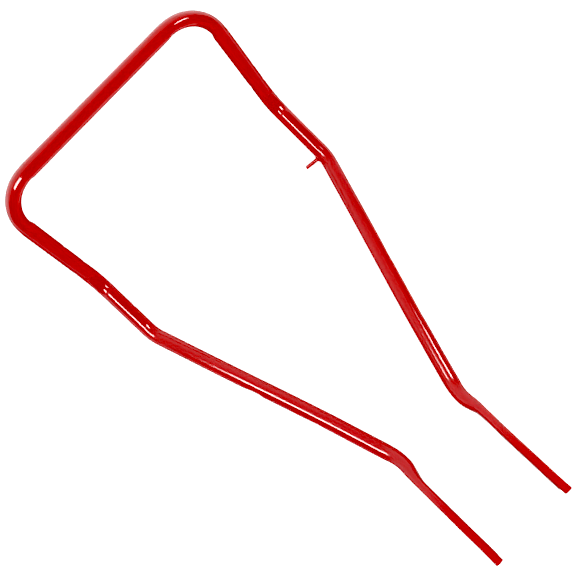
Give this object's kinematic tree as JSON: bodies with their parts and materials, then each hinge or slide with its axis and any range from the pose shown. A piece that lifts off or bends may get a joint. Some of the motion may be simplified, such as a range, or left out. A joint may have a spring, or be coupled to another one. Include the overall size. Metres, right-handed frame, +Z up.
{
  "type": "aircraft tow bar",
  "caption": "One-piece bent steel tube tow bar: wide raised handle loop, arms that converge to a fork with pressed flat ends, and a small welded strap peg.",
  "frame": {"origin": "on the floor, under the middle of the bounding box", "axes": "+Z up, +Y from the fork ends towards the raised handle loop, +X across the frame towards the arm that carries the peg"},
  "size_m": [0.4582, 0.9058, 0.2713],
  "materials": {
    "red_paint": "high gloss",
    "red_paint_peg": "gloss",
    "red_paint_weld": "gloss over rough weld"
  },
  "bodies": {
    "root": {"tube_frame": "red_paint", "strap_peg": "red_paint_peg", "peg_weld_bead": "red_paint_weld"}
  },
  "joints": []
}
